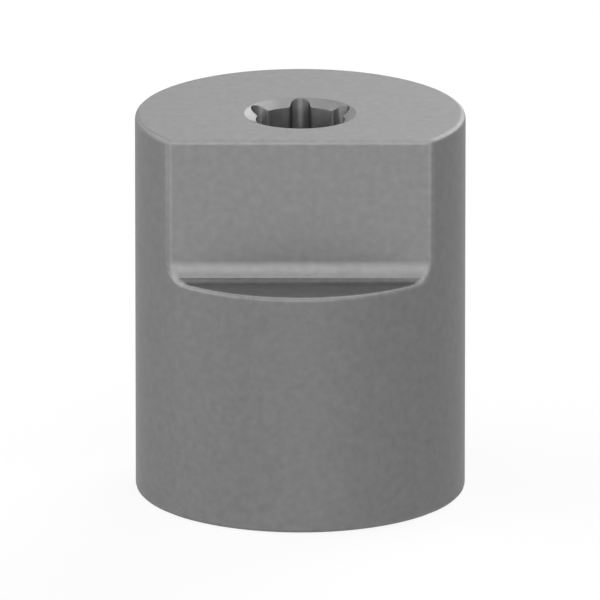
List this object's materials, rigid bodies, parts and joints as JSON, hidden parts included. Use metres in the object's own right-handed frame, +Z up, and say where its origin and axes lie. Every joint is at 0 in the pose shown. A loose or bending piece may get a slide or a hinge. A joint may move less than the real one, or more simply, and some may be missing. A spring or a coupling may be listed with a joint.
{
  "type": "dental scan body",
  "caption": "Short round scan body with a milled flat above a shelf, a lobed drive socket in its countersunk top, and a conical seat with a threaded stud in its base.",
  "frame": {"origin": "centre of the flat seat ring at the base, on the screw axis", "axes": "+Z up the screw axis towards the drive socket; the milled orientation flat faces -Y"},
  "size_m": [0.0052, 0.0052, 0.0061],
  "materials": {
    "blasted_titanium": "matt grit-blasted titanium alloy"
  },
  "bodies": {
    "root": {"scan_body": "blasted_titanium"}
  },
  "joints": []
}
